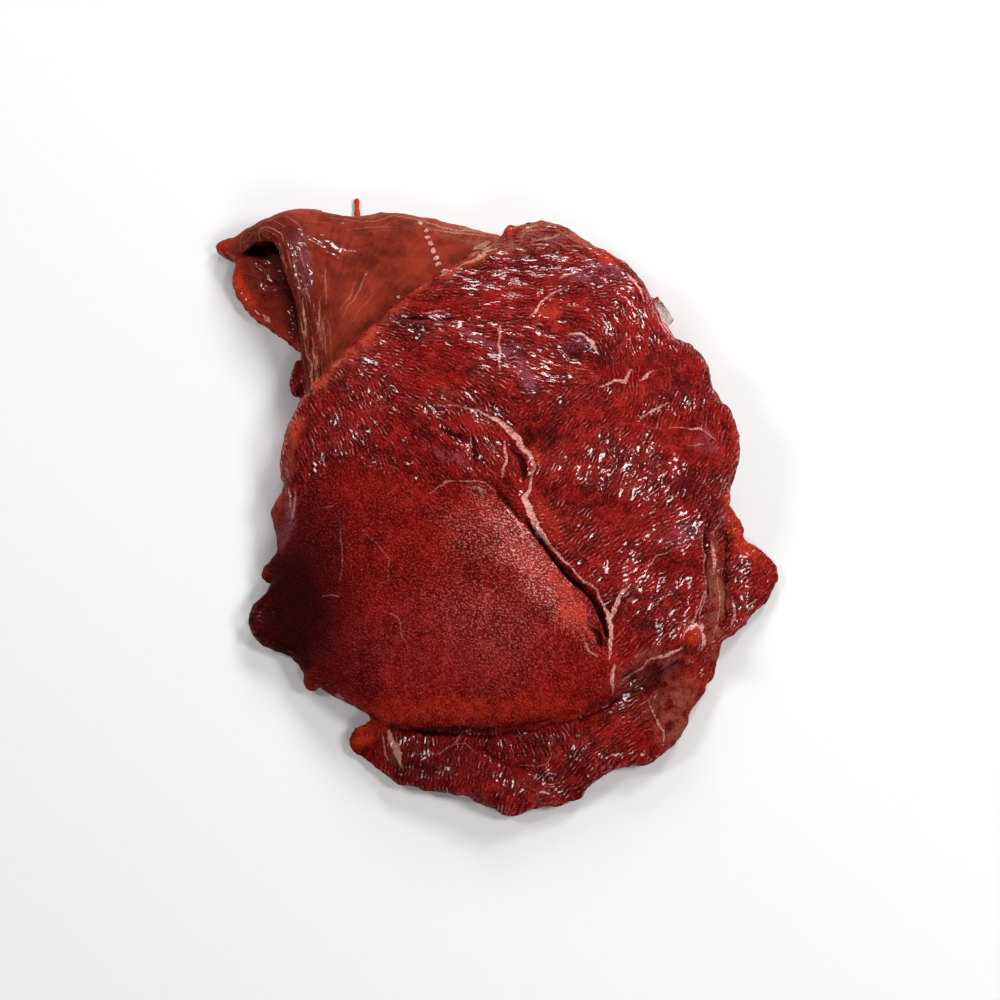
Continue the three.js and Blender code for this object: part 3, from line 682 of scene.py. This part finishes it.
def markZones(mesh):
    place = pointsOf(mesh)
    normal = normalsOf(mesh)
    slab, fine, hood, _, wet = zonesOf(place, normal)
    # painted shade, less on the lilac film
    shade = patches(place, shadePatches, 0.8) * (1 - 0.8 * np.minimum(patches(place, lilacPatches), 1))
    rim = marked["rim"] * np.exp(-((gapToLine(place, paintedGlowRim) / marked["rimWidth"]) ** 2))
    rim *= smooth(noise(place, marked["rimGaps"], 60), -0.9, 0.3)
    rim *= 0.45 + 0.55 * smooth(-place[:, 0], 38, 52)
    lip = smooth(insideDepth(place, outlines["lip"]), -1, 1) * (1 - hood) * (1 - slab) * under(place, 9, 12)
    edgeGap = gapToLine(place, outlines["freeEdge"])
    beside = marked["besideEdge"] * np.exp(-((edgeGap / marked["besideWidth"]) ** 2))
    beside *= smooth(place[:, 1], 56, 64)
    # painted shade in the cave under the flap and beside its free edge
    cave = np.maximum(patches(place, caveShadePatches, 0.3), beside) * (1 - hood) * under(place, 8.5, 10.5)
    above = smooth(normal[:, 2], -0.7, -0.3)  # the underside has none of the patches
    marks = {
        "fine": fine,
        "skin": hood,
        "lip": lip,
        "wet": wet,
        "smoothness": patches(place, smoothPatches),
        "shade": above * np.maximum(shade, cave),
        "glow": above * np.maximum(patches(place, orangeAndPaintedGlowPatches, 0.6), 0.95 * rim),
        "sheen": patches(place, paintedSheenPatches, 0.8) * fine,
        "lilac": above * patches(place, lilacPatches),
        "tan": above * np.maximum(patches(place, tanPatches), rim),
        "upright": np.abs(normal[:, 2]),
        "turn": grainAngle(place),
        "backGap": gapToLine(place, outlines["backEdge"]),
        "edgeGap": edgeGap,
        "rind": patches(place, rindPatches),
        "milky": patches(place, filmPatches) * over(place, 14, 16) * under(place, 19, 21),
        "tucked": tuckedIn(mesh),
        "bundle": 0.5 + 0.17 * bundles(place),
    }
    for name, values in marks.items():
        setAttribute(mesh, name, values)
    markLines(mesh, "pale", paleLines)
    markLines(mesh, "tan", tanLines)
    markLines(mesh, "dark", darkLines)
    return list(marks)


markNames = markZones(meat.data)

print("steak: material")


class Wire:  # an output socket of a material, so that sums on it add Math nodes
    def __init__(self, paint, socket):
        self.paint = paint
        self.socket = socket

    def math(self, operation, first, second):
        return self.paint.add("ShaderNodeMath", {"operation": operation}, {0: first, 1: second})

    def __add__(self, other):
        return self.math("ADD", self, other)

    def __radd__(self, other):
        return self.math("ADD", other, self)

    def __sub__(self, other):
        return self.math("SUBTRACT", self, other)

    def __rsub__(self, other):
        return self.math("SUBTRACT", other, self)

    def __mul__(self, other):
        return self.math("MULTIPLY", self, other)

    def __rmul__(self, other):
        return self.math("MULTIPLY", other, self)

    def __abs__(self):
        return self.math("ABSOLUTE", self, 0)


class Paint:  # a material, its colours and the nodes that are added to it
    def __init__(self, name, colours):
        self.colours = colours
        self.material = bpy.data.materials.new(name)
        self.material.use_nodes = True
        self.tree = self.material.node_tree
        self.shader = self.tree.nodes["Principled BSDF"]

    def add(self, kind, settings=None, inputs=None, output=0):
        node = self.tree.nodes.new(kind)
        for key, value in (settings or {}).items():
            setattr(node, key, value)
        for key, value in (inputs or {}).items():
            self.feed(node.inputs[key], value)
        return Wire(self, node.outputs[output])

    def feed(self, socket, value):
        if isinstance(value, Wire):
            self.tree.links.new(value.socket, socket)
        elif isinstance(value, str):
            socket.default_value = (*self.colours[value], 1)
        else:
            socket.default_value = value

    def set(self, **values):
        for key, value in values.items():
            self.feed(self.shader.inputs[key.replace("_", " ")], value)

    def place(self):
        return self.add("ShaderNodeTexCoord", output="Object")

    def attribute(self, name):
        return self.add("ShaderNodeAttribute", {"attribute_name": name}, output="Fac")

    def mix(self, share, first, second):  # of colours
        return self.add("ShaderNodeMix", {"data_type": "RGBA"}, {0: share, 6: first, 7: second}, output=2)

    def coats(self, colour, *coats):  # one over the other, each a share and a colour
        for share, coat in coats:
            colour = self.mix(share, colour, coat)
        return colour

    def scaled(self, place, size):  # coordinates counted in lumps of that size
        scale = [1 / (side * mm) for side in size]
        return self.add("ShaderNodeMapping", {}, {"Vector": place, "Scale": scale})

    def warped(self, place, size, amount):  # coordinates pushed about by noise, by that many millimetres
        lumps = {"Vector": self.scaled(place, [size] * 3), "Scale": 1, "Detail": 1}
        push = self.add("ShaderNodeTexNoise", {}, lumps, output="Color")
        push = self.add("ShaderNodeVectorMath", {"operation": "SUBTRACT"}, {0: push, 1: (0.5, 0.5, 0.5)})
        return self.add("ShaderNodeVectorMath", {"operation": "MULTIPLY_ADD"},
                        {0: push, 1: [2 * amount * mm] * 3, 2: place})

    def noise(self, vector, detail, roughness=0.5):
        return self.add("ShaderNodeTexNoise", {"normalize": True},
                        {"Vector": vector, "Scale": 1, "Detail": detail, "Roughness": roughness})

    def lumps(self, place, size, detail):
        return self.noise(self.scaled(place, [size] * 3), detail, roughness=0.6)

    def streaks(self, across, along):  # drawn out where one number changes less than the other
        return self.noise(self.add("ShaderNodeCombineXYZ", {}, {0: across, 1: along}), detail=3)

    def fibres(self, place, size, frequency, anisotropy, turn):  # short ripples that lie along the grain
        return self.add("ShaderNodeTexGabor", {"gabor_type": "2D"}, {
            "Vector": place,
            "Scale": 1 / (size * mm),
            "Frequency": frequency,
            "Anisotropy": anisotropy,
            "Orientation": turn + math.pi / 2,
        })

    def between(self, value, low, high):
        settings = {"interpolation_type": "SMOOTHSTEP"}
        return self.add("ShaderNodeMapRange", settings, {0: value, 1: low, 2: high})

    def line(self, name, ragged):  # up to one on the marked lines, with ragged edges; thin ones are faint
        width = self.attribute(name + "Width") * (0.2 + 1.6 * ragged)
        inside = self.between(abs(self.attribute(name + "Across")) - width, 0.16, -0.16)
        return inside * self.between(width, -0.15, 0.75)


meatLook = {
    "dark": (0.070, 0.0010, 0.0008),
    "red": (0.285, 0.0070, 0.0052),
    "pink": (0.60, 0.15, 0.13),
    # painted glints
    "paintedGlint": (0.80, 0.35, 0.33),
    "fineDark": (0.075, 0.0006, 0.0005),
    "fineRed": (0.31, 0.0060, 0.0030),
    # painted sheen
    "sheen": (0.86, 0.125, 0.10),
    # orange of the meat, and painted glow
    "glow": (0.66, 0.048, 0.017),
    "lilac": (0.30, 0.075, 0.105),
    "skinDark": (0.110, 0.0105, 0.0060),
    "skin": (0.35, 0.042, 0.018),
    "tan": (0.42, 0.14, 0.085),
    "brown": (0.17, 0.035, 0.023),
    "lip": (0.36, 0.034, 0.020),
    "white": (0.86, 0.42, 0.37),
    "milky": (0.66, 0.54, 0.49),
    "cream": (0.66, 0.36, 0.26),
    # painted shade
    "paintedShade": (0.008, 0.0004, 0.0004),
    "blotches": (15, 4),  # size of the lumps of this noise, and its detail
    "patchy": (4, 3),
    "sparkle": (1.3, 2),
    "grit": (0.75, 2),
    "fibres": (2.4, 1.8, 0.88),  # size, frequency, how well they keep to the grain
    "fibreWarp": (3.5, 1),  # size of the lumps that push them about, and how far
    "worms": (1.6, 1.6, 0.5),
    "wormWarp": (2.5, 0.8),
    "veins": (6, 6, 9),  # size of their net
    "veinWarp": (6, 3),
    "fan": (-67, 35.5),  # where the streaks of the skin meet
    "shader": {
        "IOR": 1.38,
        "Specular IOR Level": 0.05,
        "Coat Roughness": 0.11,
        "Coat IOR": 1.5,
        "Subsurface Weight": 0.12,
        "Subsurface Radius": (1.0, 0.2, 0.12),
        "Subsurface Scale": 1.6 * mm,
    },
}


def sharedWires(paint):  # the marks of the mesh, and noises of several sizes from 0 to 1
    at = SimpleNamespace(place=paint.place())
    for name in markNames:
        setattr(at, name, paint.attribute(name))
    for name in ("blotches", "patchy", "sparkle", "grit"):
        setattr(at, name, paint.lumps(at.place, *meatLook[name]))
    at.fibres = paint.fibres(paint.warped(at.place, *meatLook["fibreWarp"]), *meatLook["fibres"], at.turn)
    at.worms = paint.fibres(paint.warped(at.place, *meatLook["wormWarp"]), *meatLook["worms"], at.turn)
    net = paint.scaled(paint.warped(at.place, *meatLook["veinWarp"]), meatLook["veins"])
    net = paint.add("ShaderNodeTexVoronoi", {"feature": "DISTANCE_TO_EDGE"}, {"Vector": net, "Scale": 1})
    at.veins = paint.between(net, 0.045, 0.01) * paint.between(at.patchy, 0.46, 0.6)
    tone = at.worms * 0.16 + at.grit * 0.4 + at.patchy * 0.18 + at.blotches * 0.26
    at.fineTone = paint.between(tone, 0.37, 0.63)
    return at


def addStreaks(paint, at):  # of the skin: fanned out from a corner, along its back, and down its free edge
    corner = [side * mm for side in meatLook["fan"]] + [0]
    spread = paint.add("ShaderNodeVectorMath", {"operation": "SUBTRACT"}, {0: at.place, 1: corner})
    right = paint.add("ShaderNodeSeparateXYZ", {}, {0: spread}, output="X")
    back = paint.add("ShaderNodeSeparateXYZ", {}, {0: spread}, output="Y")
    bearing = paint.add("ShaderNodeMath", {"operation": "ARCTAN2"}, {0: right, 1: back})
    at.distance = paint.add("ShaderNodeVectorMath", {"operation": "LENGTH"}, {0: spread}, output="Value")
    at.fan = paint.streaks(bearing * 34, at.distance * 55)
    at.along = paint.streaks(at.backGap * 0.95 + at.patchy * 1.4, right * 55)
    at.down = paint.streaks(at.edgeGap * 1.1 + at.patchy * 1.2, back * 70)
    at.nearBack = paint.between(at.backGap, 14, 4)
    at.nearEdge = paint.between(at.edgeGap, 15, 5)


def addLines(paint, at):
    ragged = at.sparkle * 0.4 + at.grit * 0.6
    # painted shade along creases and grooves
    at.darkLine = paint.line("dark", at.sparkle)
    at.paleLine = paint.line("pale", ragged) * (1 - 0.45 * at.fine)
    at.creamLine = paint.line("tan", ragged)
    # painted shade where the meat hides the sky nearby, left off under the painted glow
    at.hidden = paint.between(at.tucked, 0.6, 1) * (1 - at.glow)


# In the next functions the numbers are shares, and limits between which one colour passes into another.
def coarseMuscle(paint, at):
    strokes = at.fibres * (1 - 0.8 * at.smoothness) + 0.4 * at.smoothness
    tone = at.blotches * 0.24 + at.patchy * 0.18 + strokes * 0.2 + at.bundle * 0.12 + at.grit * 0.26
    # a pink painted sheen over the fibres, most where the face is wet
    paintedSheenHaze = paint.between(strokes * 0.4 + at.grit * 0.6, 0.48, 0.68)
    # painted glints on the fibre crests, most where the face is wet
    paintedGlints = paint.between(at.fibres * 0.6 + at.sparkle * 0.25 + at.grit * 0.15, 0.6, 0.67)
    return paint.coats(
        paint.mix(paint.between(tone, 0.41, 0.59), "dark", "red"),
        (paintedSheenHaze * (0.1 + 0.17 * at.wet), "pink"),
        (at.veins * 0.14, "pink"),
        (paintedGlints * (0.15 + 0.8 * at.wet) * (1 - 0.8 * at.smoothness), "paintedGlint"),
    )


def fineMuscle(paint, at):
    specks = at.worms * 0.3 + at.grit * 0.7
    return paint.coats(
        paint.mix(at.fineTone, "fineDark", "fineRed"),
        # painted sheen beside the open seam; pink specks, more of them in the painted sheen; and painted
        # glints as specks in it
        (at.sheen * (0.1 + 0.6 * at.fineTone) * 0.75, "sheen"),
        (paint.between(specks, 0.5, 0.66) * (0.18 + 0.5 * at.sheen), "pink"),
        (paint.between(specks, 0.53, 0.59) * at.sheen, "paintedGlint"),
        (at.veins * 0.07, "pink"),
    )


def flapSkin(paint, at):
    tone = paint.between(at.blotches * 0.65 + at.fan * 0.15 + at.patchy * 0.2, 0.32, 0.66)
    # painted glints along the free edge of the flap
    paintedGlints = paint.between(at.down * 0.4 + at.sparkle * 0.3 + at.grit * 0.3, 0.54, 0.62)
    return paint.coats(
        paint.mix(tone, "skinDark", "skin"),
        (at.nearEdge * 0.85, "skinDark"),
        (paint.between(at.fan, 0.6, 0.72) * paint.between(at.distance, 0.04, 0.015) * 0.5, "tan"),
        (paint.between(at.along, 0.56, 0.7) * at.nearBack * 0.5, "tan"),
        (paint.between(at.down, 0.54, 0.66) * at.nearEdge * 0.6, "tan"),
        (paintedGlints * at.nearEdge * 0.55, "pink"),
    )


def lowerLip(paint, at):
    tone = paint.between(at.patchy * 0.5 + at.grit * 0.3 + at.blotches * 0.2, 0.34, 0.54)
    return paint.mix(tone, "skinDark", "lip")


def stained(paint, at, colour):
    lilac = at.lilac * paint.between(at.patchy * 0.5 + at.grit * 0.5, 0.35, 0.6)
    # orange bits and painted glow, stronger on faces that point up or down
    glow = at.glow * (0.2 + 0.75 * paint.between(at.patchy * 0.6 + at.grit * 0.4, 0.38, 0.6))
    milky = at.milky * paint.between(at.patchy * 0.6 + at.grit * 0.4, 0.3, 0.52)
    return paint.coats(
        colour,
        (at.tan * paint.between(at.patchy, 0.35, 0.6) * 0.85, paint.mix(at.fineTone * 0.7, "brown", "tan")),
        (lilac * 0.8, "lilac"),
        (glow * (0.25 + 0.75 * at.upright), "glow"),
        (milky * 0.9, "milky"),
        # painted shade
        (at.shade * 0.85, "paintedShade"),
    )


def lined(paint, at, colour):
    fatTone = paint.between(at.patchy * 0.4 + at.grit * 0.6, 0.38, 0.56)
    return paint.coats(
        colour,
        # painted shade along creases and grooves
        (at.darkLine * 0.85, "paintedShade"),
        (at.paleLine * (0.45 + 0.9 * at.grit), paint.mix(fatTone, "pink", "white")),
        (at.creamLine * (0.35 + 0.9 * at.grit), paint.mix(at.sparkle, "tan", "cream")),
        # painted shade where the meat hides the sky
        (at.hidden * 0.97, "paintedShade"),
    )


def surfaceBump(paint, at):  # heights in millimetres
    openMeat = at.wet * (1 - at.skin * 0.3)
    ripples = at.fibres * (0.11 + 0.45 * openMeat) * (1 - at.fine) * (1 - 0.85 * at.smoothness)
    height = (
        ripples * (1 - 0.75 * at.skin * (1 - at.wet)) * at.upright
        + (at.worms * 0.16 + at.grit * 0.36 + at.sparkle * 0.2) * at.fine
        + at.sparkle * at.skin * at.nearEdge * 0.5
        + at.grit * (0.07 + 0.05 * openMeat)
        + at.patchy * 0.5 * (1 - at.fine * 0.6)
        + at.along * at.nearBack * at.skin * 0.4
        + at.down * at.nearEdge * at.skin * 0.5
        + at.fan * at.skin * 0.15
        + (at.paleLine + at.creamLine) * 0.15
        - at.darkLine * 0.3
    )
    return paint.add("ShaderNodeBump", {}, {"Strength": 1, "Distance": 1 * mm, "Height": height})


def wetFilm(paint, at):
    film = at.fibres * 0.45 + at.sparkle * 0.35 + at.grit * 0.2 + at.wet * 0.17 + at.sheen * 0.16
    film = film - at.fine * (0.13 - 0.12 * at.sheen) - at.smoothness * 0.2
    film = film - at.skin * (1 - at.wet) * 0.12 + (at.skin * 0.04 + at.lip * 0.07) * at.wet
    film = paint.between(film, 0.5, 0.63)
    return film * (1 - at.hidden) * (1 - 0.85 * at.shade) * (1 - at.darkLine)


def paintMeat():
    paint = Paint("rawMeat", meatLook)
    at = sharedWires(paint)
    addStreaks(paint, at)
    addLines(paint, at)
    colour = paint.coats(
        coarseMuscle(paint, at),
        (at.fine, fineMuscle(paint, at)),
        (at.skin, flapSkin(paint, at)),
        (at.rind * paint.between(at.along, 0.5, 0.66) * 0.7, "tan"),
        (at.lip * 0.9, lowerLip(paint, at)),
    )
    colour = lined(paint, at, stained(paint, at, colour))
    paint.set(Base_Color=colour, Roughness=0.45 + 0.2 * at.patchy, Coat_Weight=wetFilm(paint, at),
              Normal=surfaceBump(paint, at))
    for name, value in meatLook["shader"].items():
        paint.shader.inputs[name].default_value = value
    return paint.material


meat.data.materials.clear()
meat.data.materials.append(paintMeat())
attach(meat, "root")
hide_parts("beef_steak")

print("studio")
studio = {
    "floor": (0.9, 0.9, 0.9),
    "floorSize": 3,  # from its middle to its sides, in metres
    "worldStrength": 0.1,
    "lights": {  # power, size, place
        "back": (4.5, 0.3, (0.05, 1.0, 0.5)),
        "rightBack": (6, 0.3, (0.55, 0.8, 0.75)),
        "right": (6, 0.3, (0.8, -0.1, 0.95)),
        "left": (3.5, 0.25, (-0.8, 0.1, 0.9)),
        "front": (4, 0.35, (0.4, -1.0, 1)),
    },
}


def addFloor():
    mesh = bpy.data.meshes.new("floor")
    grid = bmesh.new()
    bmesh.ops.create_grid(grid, x_segments=1, y_segments=1, size=studio["floorSize"])
    grid.to_mesh(mesh)
    grid.free()
    paint = Paint("floorPaint", studio)
    paint.set(Base_Color="floor", Roughness=0.9)
    mesh.materials.append(paint.material)
    addObject("floor", mesh)


def addLight(name, power, size, place):
    lamp = bpy.data.lights.new(name, "AREA")
    lamp.energy = power
    lamp.size = size
    holder = addObject(name, lamp)
    holder.location = place
    holder.rotation_euler = (-Vector(place)).to_track_quat("-Z", "Y").to_euler()


def addWorld():
    world = bpy.data.worlds.new("studio")
    world.use_nodes = True
    background = world.node_tree.nodes["Background"]
    background.inputs["Color"].default_value = (1, 1, 1, 1)
    background.inputs["Strength"].default_value = studio["worldStrength"]
    bpy.context.scene.world = world


addFloor()
for name, (power, size, place) in studio["lights"].items():
    addLight(name, power, size, place)
addWorld()
bpy.context.scene.view_settings.view_transform = "Standard"
